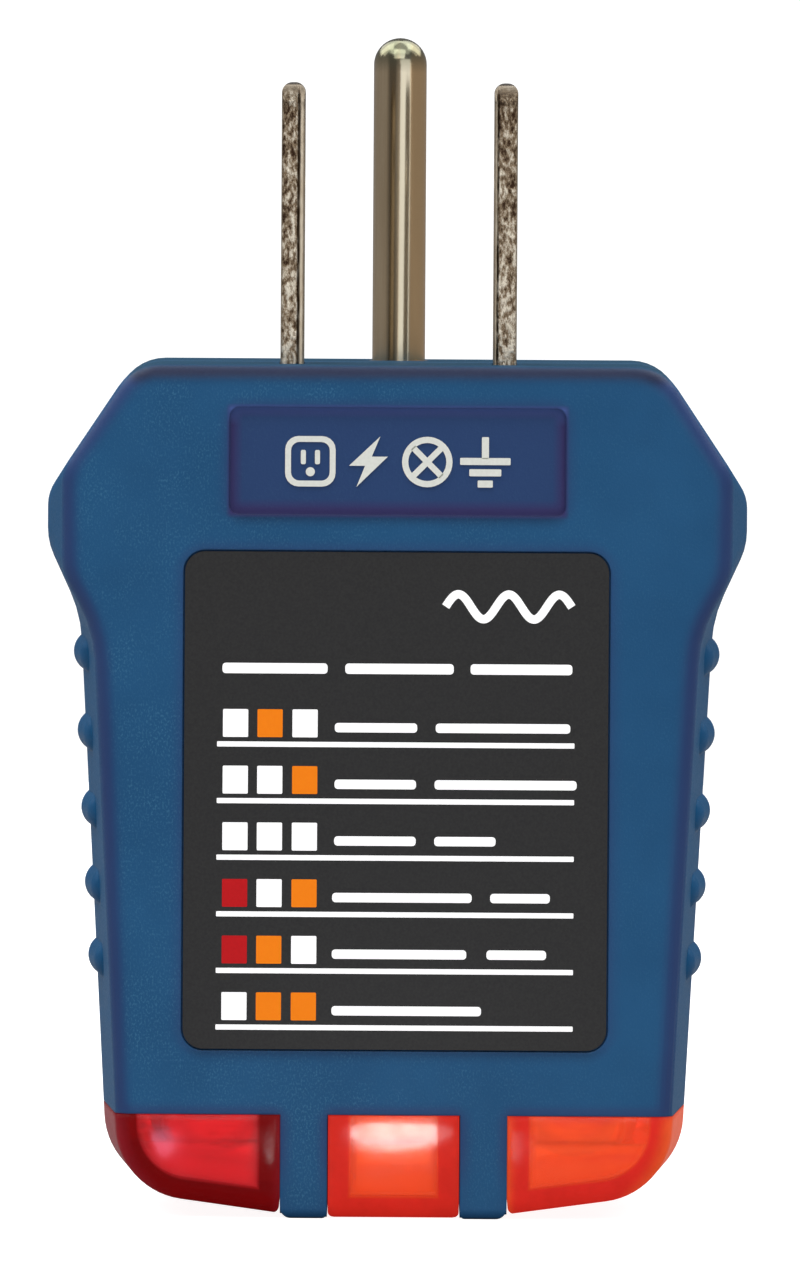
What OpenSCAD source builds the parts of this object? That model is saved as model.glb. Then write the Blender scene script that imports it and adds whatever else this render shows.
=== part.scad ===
// Three-prong outlet tester plug: a two-part moulded case with a label on its front,
// three tinted lamp lenses at its lower end, two blades and a round ground pin at its top,
// and the lamps, resistors and circuit board that light the lenses inside.
// Frame: origin on the prong face, +Z out along the prongs, label facing -Y, X across the label.

/* [Case] */
// Height of the case from the prong face to its lower end
case_h = 50.75; // [49.75:0.5:51.75]
// Half width of the case at the shoulders, on the parting plane
shoulder_x = 21.05; // [20.8:0.05:21.5]
// Depth of each half of the case, from the parting plane to its flat face
half_d = 13; // [12.8:0.1:13.4]
// Wall thickness of the case
wall = 1.8; // [1.6:0.1:2]
// How far the sides lean inwards from the parting plane to each face
side_draft = 1.15; // [0.8:0.05:1.4]
// Edge radius around the front face
front_edge_r = 1.1; // [0.8:0.1:1.4]
// Edge radius around the rear face
rear_edge_r = 2.2; // [1.8:0.1:2.4]

/* [Grip ribs] */
// Number of grip ribs on each side
rib_count = 5; // [3:1:5]
// Distance between the two uppermost ribs
rib_pitch = 4.75; // [4.4:0.05:4.9]
// Radius of a rib
rib_r = 1.3; // [1.1:0.05:1.5]
// Length of a rib, front to back
rib_len = 14; // [10:1:16]

/* [Label and badge] */
// Width of the label
label_w = 25.2; // [24:0.2:26]
// Height of the label
label_h = 29.6; // [28:0.2:30]
// Thickness of the label
label_t = 0.25; // [0.2:0.05:0.3]
// Corner radius of the label
label_r = 1.2; // [0.8:0.1:2]
// Distance from the prong face down to the label's upper edge
label_top = 11.1; // [10.6:0.1:11.6]
// Width of the badge recess
badge_w = 20; // [18:0.5:22]
// Height of the badge recess
badge_h = 6.4; // [5.5:0.1:6.6]
// Depth of the badge recess
badge_t = 0.4; // [0.2:0.1:0.6]

/* [Lenses] */
// Distance from the prong face down to the lenses' upper edge
lens_top = 44.6; // [44.4:0.1:45]
// Half width of the middle lens
mid_lens_x = 3.9; // [3.7:0.05:4]
// Width of each divider between two lenses
divider_w = 2.8; // [2.6:0.1:3]
// Wall thickness of a lens
lens_wall = 1.35; // [1.1:0.05:1.6]

/* [Prongs] */
// Distance between the centres of the two blades
blade_gap = 12.7; // [12.7:0.1:12.7]
// Width of a blade
blade_w = 6.35; // [6.2:0.05:6.5]
// Thickness of a blade
blade_t = 1.4; // [1.35:0.05:1.6]
// Length of a blade beyond the prong face
blade_len = 16.8; // [15.9:0.1:18.2]
// Diameter of the ground pin
pin_d = 3.2; // [3:0.1:3.6]
// Length of the ground pin beyond the prong face
pin_len = 19.5; // [19:0.1:20.5]
// Distance from the blades' centre line to the ground pin's centre
pin_offset = 11.9; // [11.9:0.1:11.9]

/* [Lamps and board] */
// Outer diameter of a neon bulb
bulb_d = 5.6; // [5:0.1:5.6]
// Distance between the middle bulb and an outer bulb
bulb_pitch = 10.7; // [10.6:0.1:11]
// Width of the circuit board
board_w = 26; // [25.6:0.2:26.4]
// Height of the circuit board
board_h = 24; // [23:0.5:24]
// Thickness of the circuit board
board_t = 1.6; // [1.2:0.1:1.6]

/* [Hidden] */

slack = 0.05;                              // gap between parts that drop into each other
over = 1;                                  // how far a cutter runs past the face that it cuts

blade_y = -5.6;
pin_y = blade_y + pin_offset;

divider_x0 = mid_lens_x + slack;
divider_x1 = divider_x0 + divider_w;
side_lens_x = divider_x1 + slack;
divider_top = -lens_top + 2;
foot_z = -case_h - 0.05;                   // the dividers' feet stand just proud of the lenses
rim_lap = 1.4;                             // how far a lens's lip reaches up inside the case
rim_t = 1;
rim_step = 1.7;                              // height of the thick band where lip and lens meet

// Corners of the right half of the case outline on the parting plane, from the top down.
// Each is [x, z, corner radius, facets, and how far it has moved in x and z at the front and rear].
half_outline = [
    [shoulder_x - 5.3, 0, 3, 6, 0, 0],
    [shoulder_x, -7.95, 2.5, 4, -side_draft, 1.5 * side_draft],
    [shoulder_x, -10.95, 4, 3, -side_draft, -1.4 * side_draft],
    [shoulder_x - 2, -15.3, 8, 3, -0.9 * side_draft, -0.5 * side_draft],
    [shoulder_x - 3.8, -case_h + 1.53, 4.5, 14, -0.83 * side_draft, 0],
    [5.2, -case_h, 2, 1, 0, 0]];

rib_top = 17.5;                            // depth of the first rib below the prong face
rib_proud = 0.5;                           // how far a rib stands out from its side
rib_closing = 0.12;                        // each gap is this much smaller than the one above it

screw_mid_x = divider_x0 + divider_w / 2;
screw_places = [[14.4, -10.6], [-14.4, -10.6], [screw_mid_x, -40.6], [-screw_mid_x, -40.6]];
screw_d = 2.2;
screw_head_d = 4.2;
screw_head_h = 1.5;
screw_len = 13;
screw_seat_y = half_d - 4.2;               // where the head bears, deep in its counterbore
boss_d = 4.4;
boss_wide_d = 6;
boss_wide_y = screw_seat_y - 1.5;

carrier_w = 19.5;
carrier_h = 4.5;
carrier_z = -wall - slack;                 // the carrier hangs just under the prong face
carrier_front = -10.2;
carrier_rear = 9.6;
flange_h = 1.4;                            // the prongs' flanges lie in pockets in the carrier
flange_w = 8.4;
collar_d = 6;
pin_root_d = 3.6;                          // the pin is a little thicker where it fills its hole
tail_z = -11;                              // how far the prongs' solder tails reach inside
tail_w = 3.6;
tail_hole_z = -9.4;
tail_hole_d = 1.4;
tail_pin_d = 2.6;
blade_hole_z = 11.9;
blade_hole_d = 3.2;
blade_edge_r = 0.2;
blade_tip_r = 0.62;
blade_corner_r = 1.5;

board_y = 1;                               // component face of the board
board_top = -13.4;
ledge_x = 12.1;                            // ribs in both halves clamp the board's side edges
ledge_w = 1.2;

bulb_y = -6.3;
bulb_tip = -47.4;
bulb_wall = 0.45;
bulb_len = 12.2;
bulb_base_h = 1.5;
electrode_d = 0.9;
electrode_len = 5.2;
electrode_gap = 1.8;
lead_d = 0.5;
lead_z = -33.2;
bulb_places = [-bulb_pitch, 0, bulb_pitch];

resistor_d = 2.3;
resistor_len = 6.4;
resistor_z = -23.6;
resistor_y = board_y - 0.3 - resistor_d / 2;
resistor_reach = 5.1;                      // from the resistor's middle to each of its leads
wire_d = 1.3;
core_d = 0.7;
blade_wire_x = 6.2;
wire_z = -15.8;
lead_out = 1;                              // how far leads stand out behind the board

lamp_holes = [for (x = bulb_places, s = [-1, 1]) [x + s * electrode_gap / 2, lead_z]];
resistor_holes = [for (x = bulb_places, s = [-1, 1]) [x, resistor_z + s * resistor_reach]];
wire_holes = [for (x = [-blade_wire_x, 0, blade_wire_x]) [x, wire_z]];

case_blue = [0.14, 0.33, 0.48];
label_grey = [0.2, 0.2, 0.2];
lens_red_tint = [0.78, 0.1, 0.13];
lens_amber_tint = [0.93, 0.33, 0.12];
nickel = [0.72, 0.66, 0.55];
steel = [0.6, 0.6, 0.62];
phenolic = [0.15, 0.15, 0.16];
board_tan = [0.72, 0.56, 0.32];
glass = [0.85, 0.9, 0.92];
tin = [0.75, 0.75, 0.77];

// ---- outline and loft ----

function mirrored(half) =
    concat(half, [for (i = [len(half) - 1:-1:0]) [-half[i][0], half[i][1], half[i][2], half[i][3]]]);
function unit(v) = v / norm(v);
function turn(a, b) = atan2(a[0] * b[1] - a[1] * b[0], a * b);
function spin(v, a) = [v[0] * cos(a) - v[1] * sin(a), v[0] * sin(a) + v[1] * cos(a)];

// Points of one rounded corner of an outline that runs clockwise, moved inwards by inset.
function corner(before, here, after, inset) =
    let (d1 = unit([here[0] - before[0], here[1] - before[1]]),
         d2 = unit([after[0] - here[0], after[1] - here[1]]),
         n1 = [d1[1], -d1[0]], n2 = [d2[1], -d2[0]],
         a = turn(d1, d2), convex = a < 0,
         r = convex ? max(here[2] - inset, 0.05) : here[2] + inset,
         tip = [here[0], here[1]] + inset * (n1 + n2) / (1 + n1 * n2),
         start = tip - d1 * r * tan(abs(a) / 2),
         centre = start + n1 * (convex ? r : -r))
    [for (i = [0:here[3]]) centre + spin(start - centre, a * i / here[3])];

function ring(corners, inset) =
    let (n = len(corners))
    [for (i = [0:n - 1]) each corner(corners[(i + n - 1) % n], corners[i], corners[(i + 1) % n], inset)];

// The outline draws in evenly with distance from the parting plane: the flanks by the draft,
// while the slope above each shoulder stays in its own plane.
function drawn_in(half, y) = [for (c = half)
    [c[0] + c[4] * abs(y) / half_d, c[1] + c[5] * abs(y) / half_d, c[2], c[3]]];
function outline_at(y, inset) = [for (p = ring(mirrored(drawn_in(half_outline, y)), inset)) [p[0], y, p[1]]];

// A closed solid through rings of equal length; each end is capped around a middle point.
module loft(rings, middle) {
    n = len(rings[0]);
    m = len(rings);
    first = rings[0][0][1];
    last = rings[m - 1][0][1];
    ends = [[middle[0], first, middle[1]], [middle[0], last, middle[1]]];
    sides = [for (j = [0:m - 2], i = [0:n - 1])
        let (a = j * n + i, b = j * n + (i + 1) % n)
        each [[a, b, b + n], [a, b + n, a + n]]];
    caps = [for (i = [0:n - 1])
        let (k = (i + 1) % n)
        each [[n * m, k, i], [n * m + 1, (m - 1) * n + i, (m - 1) * n + k]]];
    all = concat(sides, caps);
    polyhedron(concat([for (r = rings) each r], ends), first > last ? all : [for (f = all) [f[0], f[2], f[1]]]);
}

// Rings that round the edge of one face: side is -1 for the front, 1 for the rear.
function edge_rings(side, edge_r, inset) =
    let (r = max(edge_r - inset, 0.3))
    [for (a = [0:(inset > 0 ? 30 : 18):90])
        let (y = side * (half_d - inset - r + r * sin(a)))
        outline_at(y, inset + r * (1 - cos(a)))];
function middle_ring(inset) = [outline_at(0, inset)];
function turned(rings) = [for (i = [len(rings) - 1:-1:0]) rings[i]];

// The case's form, moved inwards by inset: its front half, its rear half, or both.
module front_form(inset = 0)
    loft(concat(middle_ring(inset), edge_rings(-1, front_edge_r, inset)), [0, -case_h / 2]);
module rear_form(inset = 0)
    loft(concat(middle_ring(inset), edge_rings(1, rear_edge_r, inset)), [0, -case_h / 2]);
module whole_form(inset = 0)
    loft(concat(turned(edge_rings(-1, front_edge_r, inset)), middle_ring(inset),
        edge_rings(1, rear_edge_r, inset)), [0, -case_h / 2]);

// ---- small helpers ----

// A box from three [low, high] pairs.
module block(x, y, z)
    translate([x[0], y[0], z[0]]) cube([x[1] - x[0], y[1] - y[0], z[1] - z[0]]);

// Children that stand on the XY plane lie along +Y instead, from [x, z] on the plane at y.
module along_y(place, y) translate([place[0], y, place[1]]) rotate([-90, 0, 0]) children();

module both_sides() for (s = [0, 1]) mirror([s, 0, 0]) children();

// A flat slab with round corners, centred on x = 0 below top, from y forwards by t.
module slab(w, h, r, t, y, top)
    translate([0, y, top - h / 2]) rotate([90, 0, 0]) linear_extrude(t) round_rect(w, h, r);

module round_rect(w, h, r) {
    square([w - 2 * r, h], center = true);
    square([w, h - 2 * r], center = true);
    for (x = [-1, 1], y = [-1, 1]) translate([x * (w / 2 - r), y * (h / 2 - r)]) circle(r, $fn = 48);
}

// A round rod from a to b.
module rod(a, b, d) {
    v = b - a;
    translate(a) rotate([0, acos(v[2] / norm(v)), atan2(v[1], v[0])]) cylinder(d = d, h = norm(v), $fn = 32);
}

// A round wire through a list of points, with round elbows.
module wire(points, d) {
    for (i = [0:len(points) - 2]) rod(points[i], points[i + 1], d);
    for (i = [1:len(points) - 2]) translate(points[i]) sphere(d = d + 0.02, $fn = 32);
}

// ---- case ----

// The outline's half width at a depth z, on the straight flank between waist and foot.
function flank_x(z) = shoulder_x - 2 - 1.8 * (-z - 15.3) / (case_h - 16.83);

// Each half rib leans with its side and ends in a round nose.
module grip_ribs(side) intersection() {
    both_sides() for (i = [0:rib_count - 1]) {
        z = -rib_top - i * rib_pitch + rib_closing * i * (i - 1) / 2;
        x = flank_x(z) + rib_proud - rib_r;
        reach = rib_len / 2 - rib_r;
        nose = [x - 0.87 * side_draft * reach / half_d, side * reach, z];
        rod([x, 0, z], nose, 2 * rib_r);
        translate(nose) sphere(r = rib_r + 0.01, $fn = 64);
        translate([x, 0, z]) sphere(r = rib_r + 0.01, $fn = 64);
    }
    block([-shoulder_x, shoulder_x], side < 0 ? [-half_d, 0] : [0, half_d], [-case_h, 0]);
}

// Half of a divider, from the parting plane to y: its foot's corners and outer edge are round.
module divider(side, edge_r) intersection() {
    translate([0, max(0, side * half_d), 0]) rotate([90, 0, 0]) linear_extrude(half_d) {
        inner_r = 0.35;
        outer_r = 0.7;
        polygon([[divider_x0, divider_top], [divider_x0, foot_z + inner_r], [divider_x0 + inner_r, foot_z],
            [divider_x1 - outer_r, foot_z], [divider_x1, foot_z + outer_r], [divider_x1, divider_top]]);
        translate([divider_x0 + inner_r, foot_z + inner_r]) circle(inner_r, $fn = 32);
        translate([divider_x1 - outer_r, foot_z + outer_r]) circle(outer_r, $fn = 32);
    }
    rotate([90, 0, 90]) linear_extrude(divider_x1 + 1) scale([side, 1]) {
        polygon([[0, divider_top], [0, foot_z], [half_d - edge_r, foot_z], [half_d, foot_z + edge_r],
            [half_d, divider_top]]);
        translate([half_d - edge_r, foot_z + edge_r]) circle(edge_r, $fn = 48);
    }
}

module lens_openings(y) {
    block([-divider_x0, divider_x0], y, [-case_h - 2, -lens_top]);
    both_sides() block([divider_x1, shoulder_x + 2], y, [-case_h - 2, -lens_top]);
}

module ledges(y) both_sides() block([ledge_x, ledge_x + ledge_w], y, [-36, -15]);

module blade_slots() both_sides()
    translate([blade_gap / 2, blade_y, 0]) cube([blade_t + 2 * slack, blade_w + 2 * slack, 6 * wall], center = true);

module front_housing() color(case_blue) difference() {
    union() {
        difference() {
            front_form();
            front_form(wall);
        }
        grip_ribs(-1);
        both_sides() divider(-1, 0.6);
        for (p = screw_places) along_y(p, -half_d + 1) cylinder(d = boss_d, h = half_d - 1 - slack, $fn = 48);
        ledges([-half_d + 1, board_y - slack]);
    }
    lens_openings([-half_d - over, over]);
    slab(label_w + 0.2, label_h + 0.2, label_r + 0.1, 2, -half_d + label_t + slack, -label_top + 0.1);
    slab(badge_w, badge_h, 0.6, 2, -half_d + badge_t, -2.5);
    blade_slots();
    for (p = screw_places) along_y(p, screw_seat_y - screw_len) cylinder(d = screw_d, h = screw_len, $fn = 48);
}

module rear_housing() color(case_blue) difference() {
    union() {
        difference() {
            rear_form();
            rear_form(wall);
        }
        grip_ribs(1);
        both_sides() divider(1, rear_edge_r);
        for (p = screw_places) {
            along_y(p, slack) cylinder(d = boss_d, h = half_d - 1, $fn = 48);
            along_y(p, boss_wide_y) cylinder(d = boss_wide_d, h = half_d - 0.5 - boss_wide_y, $fn = 48);
        }
        ledges([board_y + board_t + slack, half_d - 1]);
    }
    lens_openings([-over, half_d + over]);
    for (p = screw_places) {
        along_y(p, -over) cylinder(d = screw_d + 0.3, h = half_d + over, $fn = 48);
        along_y(p, screw_seat_y) cylinder(d = screw_head_d + 0.4, h = half_d, $fn = 48);
    }
    translate([0, pin_y, -2 * wall]) cylinder(d = pin_root_d + 2 * slack, h = 3 * wall, $fn = 64);
}

module label_plate() color(label_grey)
    slab(label_w, label_h, label_r, label_t, -half_d + label_t + slack, -label_top);

// ---- lenses ----

// What shows of a lens between x0 and x1, with round lower corners of radii r0 and r1.
module lens_window(x0, x1, r0, r1, z0, z1) {
    depth = [-half_d - over, half_d + over];
    block([x0, x0 + r0], depth, [z0, -lens_top - slack]);
    block([x1 - r1, x1], depth, [z1, -lens_top - slack]);
    block([x0 + r0, x1 - r1], depth, [-case_h - over, -lens_top - slack]);
    along_y([x0 + r0, z0], depth[0]) cylinder(r = r0, h = depth[1] - depth[0], $fn = 32);
    along_y([x1 - r1, z1], depth[0]) cylinder(r = r1, h = depth[1] - depth[0], $fn = 32);
}

// A hollow cap over the case's lower end, held by a lip that reaches up inside both halves.
module lens(x0, x1, r0, r1, z0, z1) {
    lip_inset = wall + slack;
    depth = [-half_d, half_d];
    difference() {
        union() {
            intersection() {
                whole_form();
                lens_window(x0, x1, r0, r1, z0, z1);
            }
            intersection() {
                whole_form(lip_inset);
                block([x0, x1], depth, [-lens_top - rim_step, -lens_top + rim_lap]);
            }
        }
        intersection() {
            whole_form(lip_inset + rim_t);
            block([x0 + lens_wall, x1 - lens_wall], depth, [-lens_top - 2 * rim_step, -lens_top + 3]);
        }
        intersection() {
            whole_form(lens_wall);
            block([x0 + lens_wall, x1 - lens_wall], depth, [-case_h, -lens_top - rim_step]);
        }
        // nothing of the lip stands behind the lens's own side walls
        block([x0, x0 + lens_wall], depth, [-lens_top, -lens_top + 3]);
        block([x1 - lens_wall, x1], depth, [-lens_top, -lens_top + 3]);
    }
}

module lens_amber_middle() color(lens_amber_tint)
    lens(-mid_lens_x, mid_lens_x, 0.35, 0.35, -case_h + 0.37, -case_h + 0.37);

// The outer lens runs out past the flank, so only its inner corner is rounded here.
module side_lens() lens(side_lens_x, shoulder_x + 2, 0.5, 0.1, -case_h + 0.72, -case_h);
module lens_amber_side() color(lens_amber_tint) side_lens();
module lens_red() color(lens_red_tint) mirror([1, 0, 0]) side_lens();

// ---- prongs ----

module blade_outline_yz() {
    flat_top = blade_len - blade_corner_r;
    polygon([[-blade_w / 2, 0], [-blade_w / 2, flat_top], [-blade_w / 2 + blade_corner_r, blade_len],
        [blade_w / 2 - blade_corner_r, blade_len], [blade_w / 2, flat_top], [blade_w / 2, 0]]);
    for (s = [-1, 1]) translate([s * (blade_w / 2 - blade_corner_r), flat_top]) circle(blade_corner_r, $fn = 48);
    translate([-blade_w / 2, -carrier_h - wall - slack]) square([blade_w, carrier_h + wall + 0.2]);
    translate([-flange_w / 2, carrier_z - flange_h]) square([flange_w, flange_h]);
    translate([-tail_w / 2, tail_z]) square([tail_w, -tail_z]);
}

module blade() difference() {
    intersection() {
        translate([-blade_t, 0, 0]) rotate([90, 0, 90]) linear_extrude(2 * blade_t) blade_outline_yz();
        translate([0, 10, 0]) rotate([90, 0, 0]) linear_extrude(20) {
            translate([-blade_t / 2, tail_z]) square([blade_t, blade_len - tail_z - blade_tip_r]);
            translate([-blade_t / 2 + blade_tip_r, 0]) square([blade_t - 2 * blade_tip_r, blade_len]);
            for (s = [-1, 1]) translate([s * (blade_t / 2 - blade_tip_r), blade_len - blade_tip_r])
                circle(blade_tip_r, $fn = 48);
        }
        translate([0, 0, tail_z]) linear_extrude(blade_len - tail_z) {
            round_rect(blade_t, blade_w, blade_edge_r);
            square([blade_t, 0.1], center = true);
        }
    }
    translate([-blade_t, 0, blade_hole_z]) rotate([0, 90, 0]) cylinder(d = blade_hole_d, h = 2 * blade_t, $fn = 64);
    translate([-blade_t, 0, tail_hole_z]) rotate([0, 90, 0]) cylinder(d = tail_hole_d, h = 2 * blade_t, $fn = 48);
}

module blade_flange()
    block([-blade_t / 2, blade_t / 2], [-flange_w / 2, flange_w / 2], [carrier_z - flange_h, carrier_z]);

module placed_blade(s) translate([s * blade_gap / 2, blade_y, 0]) {
    blade();
    blade_flange();
}
module hot_blade() color(nickel) placed_blade(1);
module neutral_blade() color(nickel) placed_blade(-1);

module ground_pin() color(nickel) translate([0, pin_y, 0]) difference() {
    union() {
        rotate_extrude($fn = 96) {
            square([tail_pin_d / 2, 1]);
            translate([0, carrier_z - flange_h]) square([collar_d / 2, flange_h]);
            translate([0, tail_z]) square([tail_pin_d / 2, -tail_z]);
            translate([0, carrier_z - 0.1]) square([pin_root_d / 2, -carrier_z + 0.1]);
            square([pin_d / 2, pin_len - pin_d / 2]);
            intersection() {
                translate([0, pin_len - pin_d / 2]) circle(d = pin_d, $fn = 96);
                square([pin_d, pin_len]);
            }
        }
    }
    translate([-pin_d, 0, tail_hole_z]) rotate([0, 90, 0]) cylinder(d = tail_hole_d, h = 2 * pin_d, $fn = 48);
}

module prong_carrier() color(phenolic) difference() {
    block([-carrier_w / 2, carrier_w / 2], [carrier_front, carrier_rear], [carrier_z - carrier_h, carrier_z]);
    both_sides() translate([blade_gap / 2, blade_y, 0]) {
        cube([blade_t + 2 * slack, blade_w + 2 * slack, 30], center = true);
        block([-blade_t / 2 - slack, blade_t / 2 + slack], [-flange_w / 2 - slack, flange_w / 2 + slack],
            [carrier_z - flange_h - slack, 0]);
    }
    translate([0, pin_y, -20]) cylinder(d = tail_pin_d + 2 * slack, h = 20, $fn = 64);
    translate([0, pin_y, carrier_z - flange_h - slack]) cylinder(d = collar_d + 2 * slack, h = 5, $fn = 64);
}

// ---- lamps, resistors and board ----

module circuit_board() color(board_tan) difference() {
    block([-board_w / 2, board_w / 2], [board_y, board_y + board_t], [board_top - board_h, board_top]);
    for (p = concat(lamp_holes, resistor_holes)) along_y(p, 0) cylinder(d = lead_d + 0.3, h = 5, $fn = 32);
    for (p = wire_holes) along_y(p, 0) cylinder(d = core_d + 0.3, h = 5, $fn = 32);
}

module neon_bulb(x) color(glass) translate([x, bulb_y, bulb_tip]) difference() {
    rotate_extrude($fn = 64) difference() {
        union() {
            translate([0, bulb_d / 2]) square([bulb_d / 2, bulb_len - bulb_d / 2]);
            intersection() {
                translate([0, bulb_d / 2]) circle(d = bulb_d, $fn = 64);
                square([bulb_d, bulb_d]);
            }
        }
        translate([0, bulb_d / 2]) square([bulb_d / 2 - bulb_wall, bulb_len - bulb_d / 2 - bulb_base_h]);
        intersection() {
            translate([0, bulb_d / 2]) circle(d = bulb_d - 2 * bulb_wall, $fn = 64);
            square([bulb_d, bulb_d]);
        }
    }
    for (s = [-1, 1]) translate([s * electrode_gap / 2, 0, bulb_len - bulb_base_h - 1])
        cylinder(d = lead_d + 0.1, h = 4, $fn = 32);
}

// Two electrodes in the bulb, each on a lead that runs up and back through the board.
module electrodes(x) color(steel) for (s = [-1, 1]) {
    lx = x + s * electrode_gap / 2;
    inner = bulb_tip + bulb_len - bulb_base_h - 0.3;
    translate([lx, bulb_y, inner - electrode_len]) cylinder(d = electrode_d, h = electrode_len, $fn = 32);
    wire([[lx, bulb_y, inner - 0.5], [lx, bulb_y, lead_z], [lx, board_y + board_t + lead_out, lead_z]], lead_d);
}

// A round resistor with swollen ends; its leads bend back through the board.
module resistor(x) color([0.8, 0.7, 0.5]) {
    end_r = 0.35;
    translate([x, resistor_y, resistor_z]) rotate_extrude($fn = 48) {
        difference() {
            translate([0, -resistor_len / 2]) square([resistor_d / 2, resistor_len]);
            translate([resistor_d / 2 - 0.15, -resistor_len / 2 + 1.4]) square([1, resistor_len - 2.8]);
            for (s = [-1, 1]) translate([resistor_d / 2 - end_r, s * (resistor_len / 2 - end_r)]) difference() {
                translate([0, s > 0 ? 0 : -1]) square([1, 1]);
                circle(end_r, $fn = 32);
            }
        }
        translate([0, -resistor_reach]) square([lead_d / 2, 2 * resistor_reach]);
    }
    for (s = [-1, 1]) translate([x, resistor_y, resistor_z + s * resistor_reach]) {
        sphere(d = lead_d + 0.02, $fn = 32);
        rotate([-90, 0, 0]) cylinder(d = lead_d, h = board_y + board_t + lead_out - resistor_y, $fn = 32);
    }
}

module insulated(core_a, points, core_b) {
    wire(points, wire_d);
    rod(core_a, points[0], core_d);
    rod(points[len(points) - 1], core_b, core_d);
}

// From the hole in a blade's tail to the board's front face.
module blade_wire() {
    tail_x = blade_gap / 2;
    insulated([tail_x + 1.6, blade_y, tail_hole_z],
        [[tail_x - 2.2, blade_y, tail_hole_z], [tail_x - 3.4, blade_y + 0.4, tail_hole_z - 1.8],
            [tail_x - 2.6, blade_y + 1.6, wire_z + 0.4], [blade_wire_x, -2.6, wire_z],
            [blade_wire_x, board_y - slack, wire_z]],
        [blade_wire_x, board_y + board_t + lead_out, wire_z]);
}
module hot_wire() color([0.1, 0.1, 0.1]) blade_wire();
module neutral_wire() color([0.9, 0.9, 0.9]) mirror([1, 0, 0]) blade_wire();

// From the ground pin's tail, over the board's upper edge and in through its front face.
module ground_wire() color([0.1, 0.5, 0.2])
    insulated([-2.6, pin_y, tail_hole_z],
        [[2.6, pin_y, tail_hole_z], [3.7, pin_y - 1.2, tail_hole_z - 1.6], [3.2, 0, -12.2],
            [0, -2.6, wire_z], [0, board_y - slack, wire_z]],
        [0, board_y + board_t + lead_out, wire_z]);

module fillet_ring(d_hole, r, h) difference() {
    cylinder(r1 = r, r2 = d_hole / 2 + 0.12, h = h, $fn = 48);
    translate([0, 0, -over]) cylinder(d = d_hole, h = h + 2 * over, $fn = 48);
}

module solder_joints() color(tin) {
    back = board_y + board_t + 0.01;
    for (p = concat(lamp_holes, resistor_holes)) along_y(p, back) fillet_ring(lead_d + 0.02, 0.75, 0.8);
    for (p = wire_holes) along_y(p, back) fillet_ring(core_d + 0.02, 0.95, 0.8);
    both_sides() translate([blade_gap / 2 + blade_t / 2 + 0.01, blade_y, tail_hole_z]) rotate([0, 90, 0])
        fillet_ring(core_d + 0.02, 1.15, 0.8);
    translate([-tail_pin_d / 2 - 0.01, pin_y, tail_hole_z]) rotate([0, -90, 0]) fillet_ring(core_d + 0.02, 0.95, 0.8);
}

module case_screws() color(steel) for (p = screw_places) along_y(p, screw_seat_y - screw_len + 0.2) difference() {
    rotate_extrude($fn = 64) {
        square([screw_d / 2 - slack, screw_len - 0.2]);
        translate([0, screw_len - 0.2 + 0.02]) square([screw_head_d / 2, screw_head_h - 0.5]);
        translate([0, screw_len - 0.2]) square([screw_head_d / 2 - 0.5, screw_head_h]);
        translate([screw_head_d / 2 - 0.5, screw_len - 0.2 + screw_head_h - 0.5]) intersection() {
            circle(0.5, $fn = 32);
            square(1);
        }
    }
    for (a = [0, 90]) rotate([0, 0, a]) translate([0, 0, screw_len - 0.2 + screw_head_h])
        cube([2.4, 0.5, 1.6], center = true);
}

module neon_bulb_red() neon_bulb(-bulb_pitch);
module neon_bulb_middle() neon_bulb(0);
module neon_bulb_side() neon_bulb(bulb_pitch);
module electrodes_red() electrodes(-bulb_pitch);
module electrodes_middle() electrodes(0);
module electrodes_side() electrodes(bulb_pitch);
module resistor_red() resistor(-bulb_pitch);
module resistor_middle() resistor(0);
module resistor_side() resistor(bulb_pitch);

front_housing();
rear_housing();
label_plate();
lens_red();
lens_amber_middle();
lens_amber_side();
hot_blade();
neutral_blade();
ground_pin();
prong_carrier();
circuit_board();
neon_bulb_red();
neon_bulb_middle();
neon_bulb_side();
electrodes_red();
electrodes_middle();
electrodes_side();
resistor_red();
resistor_middle();
resistor_side();
hot_wire();
neutral_wire();
ground_wire();
solder_joints();
case_screws();
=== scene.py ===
import math
import bpy
import bmesh
from mathutils import Matrix, Vector


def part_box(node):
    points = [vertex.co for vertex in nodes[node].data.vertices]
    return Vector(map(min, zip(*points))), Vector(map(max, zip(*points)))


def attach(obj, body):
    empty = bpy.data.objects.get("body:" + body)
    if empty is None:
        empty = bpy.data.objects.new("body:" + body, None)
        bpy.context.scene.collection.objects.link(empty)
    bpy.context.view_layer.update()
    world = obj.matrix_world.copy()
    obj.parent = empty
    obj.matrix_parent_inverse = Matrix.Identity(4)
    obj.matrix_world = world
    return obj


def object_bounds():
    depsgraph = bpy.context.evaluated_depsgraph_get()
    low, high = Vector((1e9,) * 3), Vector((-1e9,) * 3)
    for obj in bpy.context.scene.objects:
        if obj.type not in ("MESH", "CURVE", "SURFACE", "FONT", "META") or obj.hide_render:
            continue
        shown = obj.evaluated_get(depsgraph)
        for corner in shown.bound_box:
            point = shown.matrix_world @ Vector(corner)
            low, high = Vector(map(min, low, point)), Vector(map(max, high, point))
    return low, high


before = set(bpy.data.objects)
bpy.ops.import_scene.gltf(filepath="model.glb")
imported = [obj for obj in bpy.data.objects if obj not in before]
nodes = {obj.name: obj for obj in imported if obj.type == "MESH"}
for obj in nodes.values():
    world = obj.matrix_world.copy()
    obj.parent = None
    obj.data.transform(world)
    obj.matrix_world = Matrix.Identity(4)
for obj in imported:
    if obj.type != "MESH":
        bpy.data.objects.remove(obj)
cad_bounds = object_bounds()
scene = bpy.context.scene
MM = 0.001
BLACK = (0.0, 0.0, 0.0, 1.0)


# ---------------------------------------------------------------- helpers

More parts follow.
